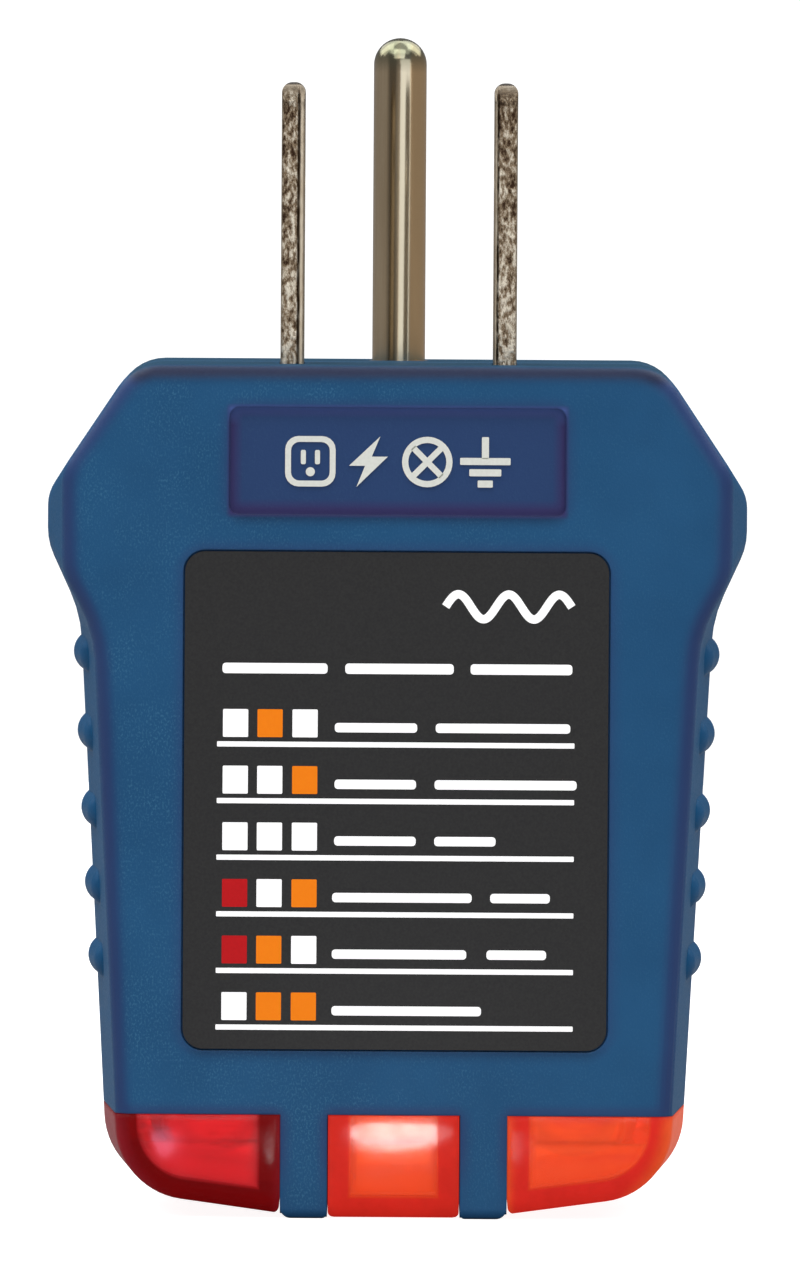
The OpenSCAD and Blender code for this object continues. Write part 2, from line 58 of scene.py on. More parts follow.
def linear(r, g, b):
    """sRGB 0-255 to a linear colour."""
    def one(c):
        c /= 255
        return c / 12.92 if c <= 0.04045 else ((c + 0.055) / 1.055) ** 2.4
    return (one(r), one(g), one(b), 1.0)


def darker(colour, part):
    """The colour with that part of its light taken away."""
    return tuple(c * (1 - part) for c in colour[:3]) + (1.0,)


class Mat:
    """A node material around one Principled shader. Its texture coordinates are the CAD's, in metres."""

    def __init__(self, name, **inputs):
        self.material = bpy.data.materials.new(name)
        self.material.use_nodes = True
        self.tree = self.material.node_tree
        self.tree.nodes.clear()
        self.output = self.tree.nodes.new("ShaderNodeOutputMaterial")
        self.shader = self.tree.nodes.new("ShaderNodeBsdfPrincipled")
        self.link(self.shader.outputs[0], self.output.inputs["Surface"])
        for k, v in inputs.items():
            self.shader.inputs[k.replace("_", " ")].default_value = v
        self.coord = self.tree.nodes.new("ShaderNodeTexCoord").outputs["Object"]

    def link(self, a, b):
        self.tree.links.new(a, b)

    def node(self, kind, **props):
        n = self.tree.nodes.new("ShaderNode" + kind)
        for k, v in props.items():
            setattr(n, k, v)
        return n

    def feed(self, socket, value):
        """Give a socket a value, or link an output to it."""
        if isinstance(value, (int, float, tuple)):
            socket.default_value = value
        else:
            self.link(value, socket)

    def set(self, name, value):
        self.feed(self.shader.inputs[name], value)

    def scaled(self, x, y, z):
        n = self.node("Mapping")
        n.inputs["Scale"].default_value = (x, y, z)
        self.link(self.coord, n.inputs["Vector"])
        return n.outputs[0]

    def noise(self, scale, detail=3.0, rough=0.5, vector=None):
        n = self.node("TexNoise")
        n.inputs["Scale"].default_value = scale
        n.inputs["Detail"].default_value = detail
        n.inputs["Roughness"].default_value = rough
        self.link(vector or self.coord, n.inputs["Vector"])
        return n.outputs["Fac"]

    def ramp(self, fac, *stops):
        """stops are (position, colour or grey)."""
        n = self.node("ValToRGB")
        els = n.color_ramp.elements
        while len(els) < len(stops):
            els.new(0.5)
        for e, (pos, c) in zip(els, stops):
            e.position = pos
            e.color = c if isinstance(c, tuple) else (c, c, c, 1.0)
        self.link(fac, n.inputs[0])
        return n.outputs[0]

    def remap(self, value, a, b, c, d):
        """c where value is a, d where it is b, in between in between, and no further."""
        n = self.node("MapRange")
        for i, v in zip(("From Min", "From Max", "To Min", "To Max"), (a, b, c, d)):
            n.inputs[i].default_value = v
        self.link(value, n.inputs["Value"])
        return n.outputs["Result"]

    def fade(self, value, zero, one):
        """0 where value is zero, 1 where it is one."""
        return self.remap(value, zero, one, 0.0, 1.0)

    def math(self, op, a, b=None):
        n = self.node("Math", operation=op)
        self.feed(n.inputs[0], a)
        if b is not None:
            self.feed(n.inputs[1], b)
        return n.outputs[0]

    def times(self, first, *others):
        for v in others:
            first = self.math("MULTIPLY", first, v)
        return first

    def plus(self, a, b):
        return self.math("ADD", a, b)

    def minus(self, a, b):
        return self.math("SUBTRACT", a, b)

    def size(self, a):
        """The value without its sign."""
        return self.math("ABSOLUTE", a)

    def least(self, a, b):
        return self.math("MINIMUM", a, b)

    def most(self, a, b):
        return self.math("MAXIMUM", a, b)

    def mix(self, fac, a, b):
        """Colour a where fac is 0, b where it is 1."""
        n = self.node("Mix", data_type="RGBA")
        for i, v in ((0, fac), (6, a), (7, b)):
            self.feed(n.inputs[i], v)
        return n.outputs[2]

    def mottled(self, noise, a, b):
        """Colour a to b over the middle of a noise's range."""
        return self.mix(self.fade(noise, 0.3, 0.7), a, b)

    def bump(self, height, distance, strength, normal=None):
        n = self.node("Bump")
        n.inputs["Distance"].default_value = distance
        n.inputs["Strength"].default_value = strength
        self.link(height, n.inputs["Height"])
        if normal is not None:
            self.link(normal, n.inputs["Normal"])
        self.link(n.outputs[0], self.shader.inputs["Normal"])
        return n.outputs[0]

    def bevel(self, radius, samples=4):
        n = self.node("Bevel", samples=samples)
        n.inputs["Radius"].default_value = radius
        return n.outputs[0]

    def xyz(self, vector=None):
        n = self.node("SeparateXYZ")
        self.link(vector or self.coord, n.inputs[0])
        return n.outputs


def paint(mat, *names):
    for name in names:
        me = nodes[name].data
        me.materials.clear()
        me.materials.append(mat.material)


def smooth(name, angle=30):
    """Smooth shading on a CAD node, with its real edges kept sharp; the mesh's points stay as they are."""
    o = nodes[name]
    me = o.data
    if "custom_normal" in me.attributes:
        me.attributes.remove(me.attributes["custom_normal"])
    me.polygons.foreach_set("use_smooth", [True] * len(me.polygons))
    w = o.modifiers.new("weld", "WELD")
    w.merge_threshold = 1e-6
    e = o.modifiers.new("split", "EDGE_SPLIT")
    e.split_angle = math.radians(angle)
    e.use_edge_sharp = False
    n = o.modifiers.new("normals", "WEIGHTED_NORMAL")
    n.mode = "FACE_AREA"
    n.weight = 50
    n.keep_sharp = True


def mesh_object(name, bm, mat):
    me = bpy.data.meshes.new(name)
    bm.to_mesh(me)
    bm.free()
    me.materials.append(mat.material)
    o = bpy.data.objects.new(name, me)
    scene.collection.objects.link(o)
    return o


def new_piece(name, bm, mat):
    bm.normal_update()
    o = mesh_object(name, bm, mat)
    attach(o, "root")


def plate(bm, outline, y, t):
    """A thin printed shape: outline is (x, z) in mm, its face looks along -Y at y, t thick behind it."""
    front = [bm.verts.new((x * MM, y, z * MM)) for x, z in outline]
    back = [bm.verts.new((x * MM, y + t, z * MM)) for x, z in outline]
    n = len(outline)
    bm.faces.new(front)
    bm.faces.new(back[::-1])
    for i in range(n):
        k = (i + 1) % n
        bm.faces.new((front[k], front[i], back[i], back[k]))


def ring_plate(bm, outer, inner, y, t):
    """A thin printed ring between two outlines of equal length."""
    rows = [[bm.verts.new((x * MM, v, z * MM)) for x, z in pts]
            for pts, v in ((outer, y), (inner, y), (inner, y + t), (outer, y + t))]
    n = len(outer)
    for i in range(n):
        k = (i + 1) % n
        for a, b in ((0, 1), (1, 2), (2, 3), (3, 0)):
            bm.faces.new((rows[a][i], rows[a][k], rows[b][k], rows[b][i]))


def disc(cx, cz, r, steps=40):
    turns = [math.tau * i / steps for i in range(steps)]
    return [(cx + r * math.cos(a), cz + r * math.sin(a)) for a in turns]


def stroke(points, w):
    """Outline of a line of width w through points."""
    left, right = [], []
    for i, (x, z) in enumerate(points):
        a, b = points[max(i - 1, 0)], points[min(i + 1, len(points) - 1)]
        dx, dz = b[0] - a[0], b[1] - a[1]
        k = w / 2 / math.hypot(dx, dz)
        left.append((x - dz * k, z + dx * k))
        right.append((x + dz * k, z - dx * k))
    return right + left[::-1]


def round_rect(cx, cz, w, h, r, steps=5):
    """Corner points of a rounded rectangle, in the order that makes its face look along -Y."""
    pts = []
    for sx, sz, a0 in ((1, 1, 0), (-1, 1, 90), (-1, -1, 180), (1, -1, 270)):
        for i in range(steps + 1):
            a = math.radians(a0 + 90 * i / steps)
            pts.append((cx + sx * (w / 2 - r) + r * math.cos(a), cz + sz * (h / 2 - r) + r * math.sin(a)))
    return pts


# ---------------------------------------------------------------- case and label

def rectangle(m, half_w, half_h, centre_z, soft):
    """1 inside a rectangle seen from the front, fading to 0 over soft at its edges; all in mm."""
    x, _, z = m.xyz()
    across = m.fade(m.size(x), (half_w + soft) * MM, half_w * MM)
    along = m.fade(m.size(m.minus(z, centre_z * MM)), (half_h + soft) * MM, half_h * MM)
    return m.times(across, along)


def case_plastic():
    """Matte moulded plastic with a fine spark-eroded grain, purple along its front and back edges.

    The purple, the flanks' and top's tints and the badge recess's tints are painted where they lie on the
    case. They stand for shade and reflections, and don't change with the light."""
    m = Mat("case_blue", IOR=1.46)
    x, y, z = m.xyz()
    wide = m.bevel(1.4 * MM, 6)
    wide_x, wide_y, wide_z = m.xyz(wide)
    facing = m.size(wide_y)
    up = m.fade(m.minus(wide_z, m.size(wide_x)), 0.0, 0.2)

    # front and back: two near blues; pale specks of the grain are a painted highlight, a sparkle that fades
    # towards +X
    grain = m.noise(6200, 3.0, 0.6)
    fleck = m.ramp(m.noise(1.0, 2.0, 0.55, m.scaled(9000, 9000, 6000)), (0.50, 0.0), (0.68, 1.0))
    patch = m.ramp(m.noise(420, 3.0, 0.6), (0.38, 0.25), (0.62, 1.0))
    # painted highlight: the grain sparkles less towards +X, away from the light
    sparkle_fade = m.remap(x, -4 * MM, 12 * MM, 1.0, 0.25)
    cloud = m.fade(m.noise(140, 3.0, 0.55), 0.35, 0.65)
    base = m.mix(cloud, linear(20, 79, 123), linear(25, 85, 130))
    grain_sparkle = m.times(fleck, patch, sparkle_fade, 0.52, m.fade(facing, 0.93, 0.99))
    base = m.mix(grain_sparkle, base, linear(64, 124, 156))

    # painted shade and reflection: purple along the rounded front and back edges, darkest along the top ones,
    # fading at the case's foot
    edge = m.times(m.fade(facing, 0.995, 0.90), m.fade(facing, 0.2, 0.5))
    edge = m.times(edge, m.fade(m.size(y), 8.5 * MM, 10.5 * MM))
    edge = m.times(edge, m.remap(z, -49.2 * MM, -47.2 * MM, 0.25, 1.0))
    edge_shade_colour = m.mix(up, linear(46, 48, 100), linear(8, 8, 48))
    base = m.mix(m.times(edge, m.remap(up, 0.0, 1.0, 0.62, 0.9)), base, edge_shade_colour)
    # painted light and shade on the flanks and top: their own blue there, darker and greyer on the top
    painted_flank = m.fade(facing, 0.45, 0.15)
    base = m.mix(painted_flank, base, m.mix(up, linear(10, 80, 124), linear(12, 62, 88)))

    # badge recess: painted shade, a darker floor and purple at its lips, and a painted highlight on the top
    # lip
    badge = m.times(rectangle(m, 9.9, 3.1, -5.7, 0.3), m.fade(y, -12.2 * MM, -12.5 * MM))
    lip = m.times(badge, m.minus(1.0, rectangle(m, 9.2, 2.4, -5.55, 0.6)))
    base = m.mix(m.times(badge, 0.85), base, linear(38, 62, 110))
    base = m.mix(m.times(lip, 0.6), base, linear(60, 38, 96))
    lit_lip = m.times(lip, m.remap(z, -3.6 * MM, -2.6 * MM, 0.0, 0.8))
    m.set("Base Color", m.mix(lit_lip, base, linear(66, 96, 160)))

    m.set("Specular IOR Level", m.remap(facing, 0.15, 0.45, 0.05, 0.25))
    m.set("Roughness", m.remap(grain, 0.3, 0.7, 0.42, 0.56))
    m.bump(m.plus(grain, m.times(fleck, 0.3)), 0.03 * MM, 0.35, m.bevel(0.18 * MM))
    return m


def label_film():
    """Dark satin film."""
    m = Mat("label_grey", Roughness=0.42, Specular_IOR_Level=0.25)
    fine = m.noise(7000, 2.0, 0.5)
    m.set("Base Color", m.mottled(fine, linear(38, 38, 39), linear(46, 46, 46)))
    m.bump(fine, 0.01 * MM, 0.15)
    return m


def ink(name, rgb, rough, glow):
    """Printing ink with a glow of its own, so that it stays bright in soft light."""
    colour = linear(*rgb)
    m = Mat(name, Roughness=rough, Specular_IOR_Level=0.12, Emission_Color=colour,
            Emission_Strength=glow)
    fine = m.noise(6000, 2.0, 0.5)
    m.set("Base Color", m.mottled(fine, darker(colour, 0.07), colour))
    m.bump(fine, 0.004 * MM, 0.2)
    return m


# ---------------------------------------------------------------- lenses

# The lenses' outline seen from the front, in mm: half width and foot of the middle one. Then, for the side
# ones, the divider's face, the point where side and foot would meet, that corner's radius, the directions
# that lead inwards from side and foot, and how far the side draws in per mm of depth.
MIDDLE_HALF_W, MIDDLE_FOOT = 3.9, -50.75
DIVIDER_X = 6.8
CORNER_X, CORNER_Z, CORNER_R = 17.25, -49.22, 4.5
FROM_SIDE = (-0.9986, 0.053)
FROM_FOOT = (-0.12596, 0.99203)
DRAWN_IN = 0.95 / 13

# how much of the surface is milky before the hollow, at the rims and on the flanks
HAZE_OPEN, HAZE_RIM, HAZE_FLANK = 0.31, 0.86, 0.8

RED, RED_LOSS = (0.95, 0.11, 0.14, 1.0), (20, 220, 220)
AMBER, AMBER_LOSS = (0.985, 0.36, 0.14, 1.0), (5, 97, 100)


def wall_depth(m, middle):
    """Distance in mm from the lens's outline, seen from the front."""
    x, y, z = (m.times(v, 1000.0) for v in m.xyz())
    x = m.size(x)
    if middle:
        return m.least(m.minus(MIDDLE_HALF_W, x), m.minus(z, MIDDLE_FOOT))
    u = m.minus(m.plus(x, m.times(m.size(y), DRAWN_IN)), CORNER_X)
    w = m.minus(z, CORNER_Z)
    a, b = (m.minus(CORNER_R, m.plus(m.times(u, nx), m.times(w, nz)))
            for nx, nz in (FROM_SIDE, FROM_FOOT))
    # a and b are how far past the arc's centre a point lies, towards side and foot
    k = FROM_SIDE[0] * FROM_FOOT[0] + FROM_SIDE[1] * FROM_FOOT[1]
    in_corner = m.times(m.math("GREATER_THAN", a, m.times(b, k)),
                        m.math("GREATER_THAN", b, m.times(a, k)))
    squares = m.plus(m.math("POWER", a, 2.0), m.math("POWER", b, 2.0))
    squares = m.math("DIVIDE", m.minus(squares, m.times(a, b, 2 * k)), 1 - k * k)
    from_centre = m.math("SQRT", m.most(0.0, squares))
    reach = m.most(m.most(a, b), m.times(from_centre, in_corner))
    return m.least(m.minus(CORNER_R, reach), m.minus(x, DIVIDER_X))


def lens_plastic(name, tint, loss, open_face, rim, side, middle):
    """Clear plastic coloured through, milky where the walls are seen edge-on.

    The milky layer glows by itself, in place of the light that real plastic passes on from behind.
    loss is how much of red, green and blue a metre takes. open_face, rim and side are the layer's
    colours before the hollow, before the walls and on the flanks."""
    m = Mat(name, IOR=1.49, Base_Color=tint, Transmission_Weight=1.0)
    _, y, z = m.xyz()
    volume = m.node("VolumeAbsorption")
    top = max(loss) / 0.98
    volume.inputs["Color"].default_value = tuple(1 - c / top for c in loss) + (1.0,)
    volume.inputs["Density"].default_value = top
    m.link(volume.outputs[0], m.output.inputs["Volume"])
    m.set("Roughness", m.remap(m.noise(900, 3.0, 0.5), 0.3, 0.7, 0.05, 0.09))
    normal = m.bump(m.noise(300, 2.0, 0.5), 0.02 * MM, 0.3, m.bevel(0.6 * MM))

    # the darker rim colour at the walls is painted shade; the side colour on the flanks is painted light and
    # shade
    walls = m.fade(wall_depth(m, middle), 1.5, 1.15)
    painted_flank = m.fade(m.size(m.xyz(m.bevel(1.2 * MM, 6))[0]), 0.25, 0.8)
    # painted shadow: darker streaks in the upper part of the open face, for the parts inside seen through
    interior_shadow_streaks = m.remap(m.noise(1.0, 3.0, 0.6, m.scaled(260, 60, 1200)), 0.5, 0.66, 0.0, 0.65)
    behind = m.times(interior_shadow_streaks, m.fade(z, -47.6 * MM, -46.6 * MM))
    colour = m.mix(walls, m.mix(behind, linear(*open_face), linear(*rim)), linear(*rim))
    colour = m.mix(painted_flank, colour, linear(*side))

    haze = m.node("BsdfPrincipled")
    haze.inputs["Roughness"].default_value = 0.2
    haze.inputs["Specular IOR Level"].default_value = 0.0
    m.link(m.remap(m.most(painted_flank, walls), 0.0, 1.0, 0.68, 0.56), haze.inputs["Emission Strength"])
    m.link(colour, haze.inputs["Emission Color"])
    cloudy = m.fade(m.noise(500, 3.0, 0.6), 0.35, 0.65)
    m.link(m.mix(0.45, m.mix(m.times(cloudy, 0.3), colour, BLACK), BLACK), haze.inputs["Base Color"])
    m.link(normal, haze.inputs["Normal"])

    deep = m.remap(y, -11.5 * MM, -9 * MM, 1.0, 0.7)
    amount = m.plus(HAZE_OPEN, m.times(walls, deep, HAZE_RIM - HAZE_OPEN))
    both = m.node("MixShader")
    m.link(m.most(amount, m.times(painted_flank, HAZE_FLANK)), both.inputs[0])
    m.link(m.shader.outputs[0], both.inputs[1])
    m.link(haze.outputs[0], both.inputs[2])
    m.link(both.outputs[0], m.output.inputs["Surface"])
    return m


# ---------------------------------------------------------------- prongs

def pin_metal():
    """Nickel over brass, drawn lengthwise.

    The pale stripe, the dark line beside it and the round end's tint are painted by x and z. They stand for
    reflections, and stay in place when the view or the light turns."""
    m = Mat("pin_metal", Metallic=1.0)
    x, _, z = m.xyz()
    across = m.times(x, 1000.0)
    streak = m.noise(1.0, 4.0, 0.6, m.scaled(2200, 2200, 60))
    base = m.mottled(streak, linear(205, 182, 146), linear(222, 202, 168))
    # painted reflections: a pale stripe just right of the middle and a warmer, brighter band further right
    base = m.mix(m.fade(across, -0.08, 0.06), base, linear(208, 199, 176))
    base = m.mix(m.fade(across, 0.55, 0.72), base, linear(236, 200, 150))
    # painted reflection: a dark line left of the middle
    line = m.times(m.fade(m.size(m.plus(across, 0.45)), 0.36, 0.16), 0.75)
    base = m.mix(line, base, linear(92, 80, 60))
    # painted reflection: a greyer, darker round end
    dome_reflection = m.times(m.fade(z, 17.4 * MM, 18.6 * MM), 0.88)
    m.set("Base Color", m.mix(dome_reflection, base, linear(118, 122, 100)))
    m.set("Roughness", m.remap(streak, 0.3, 0.7, 0.13, 0.2))
    m.bump(streak, 0.006 * MM, 0.25)
    return m


def blade_metal(name, line, inner, faintest):
    """Nickel over brass, rough and mottled on the sheared edge.

    line: x in mm of the dark line beside that edge, painted shade in a shallow groove. inner: +1 or -1, the
    side the rolled edge is on.
    faintest: how dark the line stays where it is faintest."""
    m = Mat(name, Metallic=1.0)
    x, _, z = m.xyz()
    sheared = m.fade(m.size(m.xyz(m.node("NewGeometry").outputs["Normal"])[1]), 0.5, 0.85)
    wander = m.times(m.minus(m.noise(1.0, 2.0, 0.5, m.scaled(1, 1, 420)), 0.5), 0.12)
    off = m.plus(m.times(m.minus(m.times(x, 1000.0), line), inner), wander)
    rolled = m.fade(off, -0.02, 0.08)
    # painted shade: a dark line along the groove by the sheared face, fainter in places
    dark = m.times(m.fade(m.size(off), 0.10, 0.03), sheared)
    dark = m.times(dark, m.remap(m.noise(900, 2.0, 0.5), 0.35, 0.55, faintest, 1.0))

    fine = m.noise(1.0, 4.0, 0.72, m.scaled(4300, 4300, 2300))
    coarse = m.noise(1.0, 3.0, 0.6, m.scaled(1700, 1700, 800))
    torn = m.plus(m.times(fine, 0.7), m.times(coarse, 0.3))
    torn = m.plus(torn, m.remap(z, 3 * MM, 19 * MM, 0.02, -0.035))
    mottle = m.ramp(torn, (0.40, linear(66, 48, 36)), (0.49, linear(150, 130, 105)),
                    (0.60, linear(248, 238, 218)))
    plain = m.mottled(coarse, linear(190, 172, 146), linear(222, 210, 188))
    colour = m.mix(m.times(sheared, m.minus(1.0, rolled)), plain, mottle)
    # painted reflection: the blade darkens towards its tip
    tip_reflection = m.times(m.fade(z, 15.1 * MM, 16 * MM), 0.75)
    colour = m.mix(tip_reflection, colour, linear(66, 58, 48))
    m.set("Base Color", m.mix(dark, colour, linear(46, 33, 20)))
    m.set("Roughness", m.plus(0.24, m.times(sheared, 0.14)))
    rough = m.times(m.plus(fine, coarse), sheared, m.remap(rolled, 0.0, 1.0, 1.0, 0.25))
    m.bump(m.minus(rough, dark), 0.1 * MM, 0.8, m.bevel(0.16 * MM))
    return m


# ---------------------------------------------------------------- what is inside the case

def simple(name, rgb, rough, metallic=0.0, scale=3000, spread=0.15):
    """One colour with a fine mottle; spread is how much darker the mottle's dark parts are."""
    m = Mat(name, Roughness=rough, Metallic=metallic)
    fine = m.noise(scale, 3.0, 0.5)
    colour = linear(*rgb)
    m.set("Base Color", m.mottled(fine, darker(colour, spread), colour))
    m.bump(fine, 0.01 * MM, 0.3)
    return m


def bulb_glass():
    """Thin clear glass: mostly see-through, with more of a surface towards its rim."""
    m = Mat("bulb_glass", Roughness=0.04, IOR=1.45)
    clear = m.node("BsdfTransparent")
    clear.inputs["Color"].default_value = (0.97, 0.98, 0.98, 1.0)
    rim = m.node("LayerWeight")
    rim.inputs["Blend"].default_value = 0.25
    m.set("Base Color", m.mix(m.noise(900, 2.0), (0.75, 0.75, 0.74, 1.0), (0.85, 0.85, 0.84, 1.0)))
    m.bump(m.noise(250, 2.0), 0.01 * MM, 0.2)
    thin = m.node("MixShader")
    m.link(m.times(rim.outputs["Fresnel"], 0.3), thin.inputs[0])
    m.link(clear.outputs[0], thin.inputs[1])
    m.link(m.shader.outputs[0], thin.inputs[2])
    m.link(thin.outputs[0], m.output.inputs["Surface"])
    return m


def resistor_body():
    """Tan body with brown and grey bands along its length."""
    m = Mat("resistor", Roughness=0.4)
    tan = linear(206, 178, 128)
    along = m.math("FRACT", m.times(m.xyz()[2], 900.0))
    bands = m.ramp(along, (0.0, linear(120, 40, 20)), (0.3, tan), (0.62, linear(60, 60, 60)), (0.8, tan))
    bands.node.color_ramp.interpolation = "CONSTANT"
    m.set("Base Color", bands)
    m.bump(m.noise(2500, 2.0), 0.01 * MM, 0.2)
    return m


# ---------------------------------------------------------------- painting the CAD nodes

LAMPS = ("red", "middle", "side")

paint(case_plastic(), "front_housing", "rear_housing")
paint(label_film(), "label_plate")
paint(lens_plastic("lens_red", RED, RED_LOSS,
                   (234, 26, 38), (112, 4, 6), (134, 26, 36), middle=False), "lens_red")
paint(lens_plastic("lens_amber_mid", AMBER, AMBER_LOSS,
                   (248, 88, 24), (216, 44, 34), (216, 50, 38), middle=True), "lens_amber_middle")
paint(lens_plastic("lens_amber_side", AMBER, AMBER_LOSS,
                   (248, 88, 28), (218, 44, 36), (240, 92, 44), middle=False), "lens_amber_side")
paint(pin_metal(), "ground_pin")
paint(blade_metal("blade_left", -6.01, 1, 0.75), "neutral_blade")
paint(blade_metal("blade_right", 5.87, -1, 0.3), "hot_blade")
paint(simple("carrier_black", (34, 34, 36), 0.55), "prong_carrier")
paint(simple("board_tan", (176, 140, 84), 0.5, 0.0, 1200, 0.2), "circuit_board")
paint(simple("plain_steel", (170, 170, 174), 0.3, 1.0), "case_screws", *(f"electrodes_{n}" for n in LAMPS))
paint(simple("solder", (198, 198, 204), 0.22, 1.0), "solder_joints")
paint(simple("wire_black", (24, 24, 25), 0.4), "hot_wire")
paint(simple("wire_white", (225, 225, 220), 0.4), "neutral_wire")
paint(simple("wire_green", (22, 104, 48), 0.4), "ground_wire")
paint(bulb_glass(), *(f"neon_bulb_{n}" for n in LAMPS))
paint(resistor_body(), *(f"resistor_{n}" for n in LAMPS))
for n in nodes:
    smooth(n)

# ---------------------------------------------------------------- print on the label

# The label's layout, in mm. Each row has a square for each lamp: W unlit, O amber, R red. Bars stand for the
# words beside the squares and for those of the header.
LABEL_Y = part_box("label_plate")[0][1] - 0.01 * MM
INK_T = 0.008 * MM
ROWS = ("WOW", "WWO", "WWW", "RWO", "ROW", "WOO")
WORDS = (((-3.65, 1.25), (2.35, 10.35)), ((-3.65, 1.2), (2.3, 10.75)), ((-3.65, 1.2), (2.3, 5.95)),
         ((-3.75, 4.55), (5.65, 9.2)), ((-3.75, 4.25), (5.45, 9.0)), ((-3.75, 5.15),))
HEADER = ((-10.35, -4.1), (-3.05, 3.4), (4.4, 10.45))
ROW_TOP, ROW_PITCH = -21.3, 3.371
SQUARES, SQUARE_W, SQUARE_H = (-9.55, -7.5, -5.42), 1.5, 1.66
WORD_DROP, WORD_H = 0.24, 0.56
RULE_X, RULE_DROP, RULE_W, RULE_H = -0.02, 1.25, 21.25, 0.31
HEADER_Z, HEADER_H = -18.03, 0.62
WAVE_X, WAVE_Z, WAVE_W, WAVE_H, WAVE_TURNS, WAVE_STEPS, WAVE_LINE = 2.9, -14.3, 7.5, 0.74, 2.5, 96, 0.5


def printed(bm, cx, cz, w, h, r, steps):
    plate(bm, round_rect(cx, cz, w, h, r, steps), LABEL_Y, INK_T)


def word(bm, a, b, z, h):
    """A bar from a to b with rounded corners, in place of a word."""
    printed(bm, (a + b) / 2, z, b - a, h, 0.2, 4)


prints = {"W": bmesh.new(), "O": bmesh.new(), "R": bmesh.new()}
for i, row in enumerate(ROWS):
    z = ROW_TOP - i * ROW_PITCH
    for x, c in zip(SQUARES, row):
        printed(prints[c], x, z, SQUARE_W, SQUARE_H, 0.06, 2)
    printed(prints["W"], RULE_X, z - RULE_DROP, RULE_W, RULE_H, 0.04, 2)
    for a, b in WORDS[i]:
        word(prints["W"], a, b, z - WORD_DROP, WORD_H)
for a, b in HEADER:
    word(prints["W"], a, b, HEADER_Z, HEADER_H)

steps = [i / WAVE_STEPS for i in range(WAVE_STEPS + 1)]
wave = [(WAVE_X + WAVE_W * s, WAVE_Z + WAVE_H * math.sin(math.tau * WAVE_TURNS * s)) for s in steps]
plate(prints["W"], stroke(wave, WAVE_LINE), LABEL_Y, INK_T)

new_piece("label_print_white", prints["W"], ink("ink_white", (254, 254, 254), 0.5, 0.3))
new_piece("label_print_orange", prints["O"], ink("ink_orange", (250, 132, 16), 0.5, 0.14))
new_piece("label_print_red", prints["R"], ink("ink_red", (194, 22, 28), 0.5, 0.1))

# ---------------------------------------------------------------- signs in the badge recess

# Generic signs, raised from the recess's floor: a socket, a bolt, a lamp and an earth sign, in mm.
SIGN_T = 0.12 * MM
SIGN_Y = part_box("front_housing")[0][1] + 0.4 * MM - SIGN_T
SIGN_Z = -5.72
SOCKET_X, BOLT_X, LAMP_X, EARTH_X = -5.2, -1.75, 1.75, 5.2


def sign(bm, outline, lift=0.0):
    plate(bm, outline, SIGN_Y - lift, SIGN_T)


def socket_sign(bm):
    ring_plate(bm, round_rect(SOCKET_X, SIGN_Z, 3.0, 3.0, 0.8), round_rect(SOCKET_X, SIGN_Z, 2.3, 2.3, 0.5),
               SIGN_Y, SIGN_T)
    for side in (-0.42, 0.42):
        sign(bm, round_rect(SOCKET_X + side, SIGN_Z + 0.25, 0.3, 0.85, 0.1))
    sign(bm, disc(SOCKET_X, SIGN_Z - 0.62, 0.27))


def bolt_sign(bm):
    bolt = ((0.7, 1.5), (-1.15, -0.25), (-0.2, -0.25), (-0.7, -1.5), (1.15, 0.3), (0.2, 0.3))
    sign(bm, [(x + BOLT_X, z + SIGN_Z) for x, z in bolt])


def lamp_sign(bm):
    """A ring with a cross in it; one bar stands out a little further, so that the two don't share a face."""
    ring_plate(bm, disc(LAMP_X, SIGN_Z, 1.5), disc(LAMP_X, SIGN_Z, 1.13), SIGN_Y, SIGN_T)
    for angle, lift in ((45, 0.01 * MM), (-45, 0.0)):
        dx, dz = 1.2 * math.cos(math.radians(angle)), 1.2 * math.sin(math.radians(angle))
        sign(bm, stroke([(LAMP_X - dx, SIGN_Z - dz), (LAMP_X + dx, SIGN_Z + dz)], 0.36), lift)


def earth_sign(bm):
    sign(bm, round_rect(EARTH_X, SIGN_Z + 0.85, 0.42, 1.3, 0.06))
    for w, dz in ((3.0, 0.05), (1.9, -0.62), (0.9, -1.29)):
        sign(bm, round_rect(EARTH_X, SIGN_Z + dz, w, 0.42, 0.06))


signs = bmesh.new()
for draw in (socket_sign, bolt_sign, lamp_sign, earth_sign):
    draw(signs)
new_piece("badge_symbol", signs, ink("ink_badge", (226, 228, 220), 0.35, 0.1))

# ---------------------------------------------------------------- stage

# Floor and world look white to the camera, also through the lenses, and light the object much less than that.
SEEN_BY_EYE = ("Is Camera Ray", "Is Transmission Ray")
FLOOR_R = 0.6


def floor_white():
    m = Mat("floor_white", Roughness=0.95, Specular_IOR_Level=0.0, Emission_Color=(1, 1, 1, 1))
    m.set("Base Color", m.mix(m.noise(30, 2.0), (0.38, 0.38, 0.38, 1), (0.41, 0.41, 0.41, 1)))
    path = m.node("LightPath")
    seen = m.most(*(path.outputs[ray] for ray in SEEN_BY_EYE))
    m.set("Emission Strength", m.times(seen, 0.93))
    return m


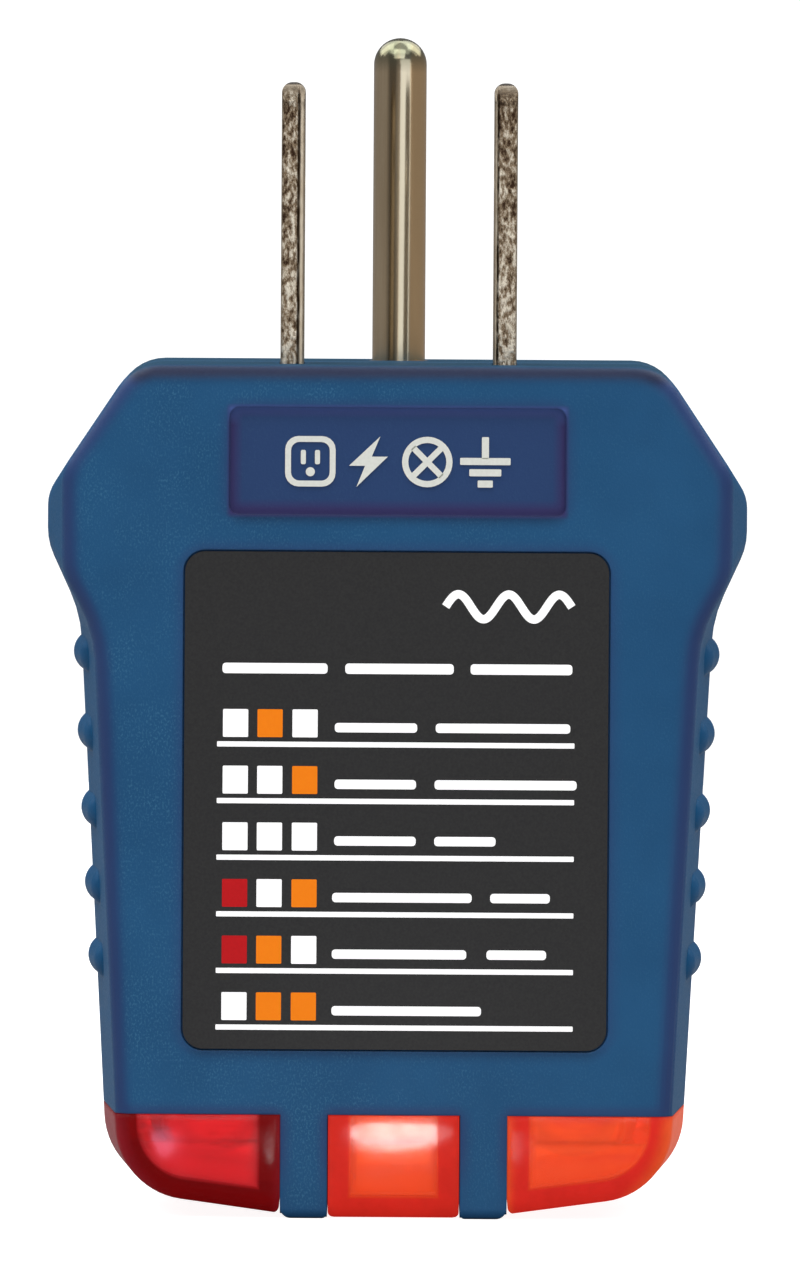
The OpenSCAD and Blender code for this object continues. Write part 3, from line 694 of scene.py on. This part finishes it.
def studio_world():
    world = bpy.data.worlds.new("studio")
    world.use_nodes = True
    tree = world.node_tree
    tree.nodes.clear()
    shaders = []
    for colour, strength in (((0.94, 0.92, 0.95, 1), 0.28), ((1, 1, 1, 1), 1.15)):
        background = tree.nodes.new("ShaderNodeBackground")
        background.inputs["Color"].default_value = colour
        background.inputs["Strength"].default_value = strength
        shaders.append(background)
    path = tree.nodes.new("ShaderNodeLightPath")
    seen = tree.nodes.new("ShaderNodeMath")
    seen.operation = "MAXIMUM"
    mixed = tree.nodes.new("ShaderNodeMixShader")
    output = tree.nodes.new("ShaderNodeOutputWorld")
    for i, ray in enumerate(SEEN_BY_EYE):
        tree.links.new(path.outputs[ray], seen.inputs[i])
    tree.links.new(seen.outputs[0], mixed.inputs[0])
    for i, background in enumerate(shaders):
        tree.links.new(background.outputs[0], mixed.inputs[i + 1])
    tree.links.new(mixed.outputs[0], output.inputs["Surface"])
    return world


bm = bmesh.new()
bmesh.ops.create_circle(bm, cap_ends=True, radius=FLOOR_R, segments=96)
bm.transform(Matrix.Translation((0, 0, cad_bounds[0][2])))
floor = mesh_object("floor", bm, floor_white())
scene.world = studio_world()

# ---------------------------------------------------------------- where the camera stands

# The photograph's viewing angle: from far away, almost level, with ROLL about the line of sight.
SENSOR = 36.0
PITCH, ROLL, DISTANCE = math.radians(1.9), math.radians(0.36), 1.0
LENS_MM = 473.705
CENTRE_Z = -16.2 * MM
AIM = Vector((0.19 * MM, 0, CENTRE_Z))
LOOK = Vector((0, math.cos(PITCH), -math.sin(PITCH)))
EYE = AIM - LOOK * DISTANCE


# ---------------------------------------------------------------- lights

def area_light(name, shape, w, h, radiance, location, rotation):
    """An area light that looks equally bright at any size."""
    d = bpy.data.lights.new(name, "AREA")
    d.shape = shape
    d.size, d.size_y = w, h
    d.energy = radiance * math.pi * w * h
    o = bpy.data.objects.new(name, d)
    o.location = location
    o.rotation_euler = rotation
    scene.collection.objects.link(o)
    return o


def softbox(name, azimuth, elevation, distance, radiance, w, h):
    """A large light on the object's middle; azimuth 0 is in front of the label, 90 is on its right."""
    a, e = math.radians(azimuth), math.radians(elevation)
    away = Vector((math.sin(a) * math.cos(e), -math.cos(a) * math.cos(e), math.sin(e)))
    location = Vector((0, 0, CENTRE_Z)) + away * distance
    area_light(name, "RECTANGLE", w, h, radiance, location, away.to_track_quat("Z", "Y").to_euler())


def glint(name, x, z, w, h, radiance, colour=(1, 1, 1)):
    """A small card before the lenses whose reflection covers x, z (mm) of their front, w by h mm there."""
    front = cad_bounds[0][1]
    ahead = 40 * MM
    k = ahead / (front - EYE.y)
    at = Vector((x * MM, front, z * MM))
    location = (at.x + (at.x - EYE.x) * k, front - ahead, at.z + (at.z - EYE.z) * k)
    o = area_light(name, "ELLIPSE", (1 + k) * w * MM, (1 + k) * h * MM, radiance, location,
                   (math.radians(90), 0, 0))
    o.data.color = colour
    o.visible_camera = False


softbox("wide_right", 22, 0, 1.2, 0.95, 1.05, 1.1)
softbox("front_top", -5, 50, 1.0, 1.9, 0.8, 0.8)
softbox("fill_left", -50, 58, 1.1, 1.2, 0.5, 0.5)
softbox("top", 0, 88, 0.9, 0.8, 1.3, 1.3)
softbox("side_left", -105, 50, 1.0, 1.25, 0.7, 0.7)
softbox("side_right", 105, 50, 1.0, 0.8, 0.7, 0.7)
softbox("back_left", -130, 50, 0.9, 1.7, 0.8, 0.8)
softbox("back_right", 130, 50, 0.9, 1.7, 0.8, 0.8)

glint("glint_middle", 0.4, -45.85, 6.4, 1.9, 19)
glint("glint_fin_left", -7.35, -46.8, 0.12, 2.2, 75)
glint("glint_fin_right", 7.3, -46.8, 0.12, 2.2, 60)
glint("glint_red", -14.0, -46.6, 1.6, 1.8, 7, (0.9, 0.5, 0.8))

# ---------------------------------------------------------------- camera, light paths and size

cam_data = bpy.data.cameras.new("camera")
cam_data.sensor_width = SENSOR
cam_data.lens = LENS_MM
cam_data.clip_start = 0.01
cam = bpy.data.objects.new("camera", cam_data)
scene.collection.objects.link(cam)
cam.matrix_world = (Matrix.Translation(EYE)
                    @ (-LOOK).to_track_quat("Z", "Y").to_matrix().to_4x4()
                    @ Matrix.Rotation(ROLL, 4, "Z"))
scene.camera = cam

scene.view_settings.view_transform = "Standard"
scene.cycles.max_bounces = 16
scene.cycles.transmission_bounces = 16
scene.cycles.caustics_reflective = True
scene.cycles.caustics_refractive = True
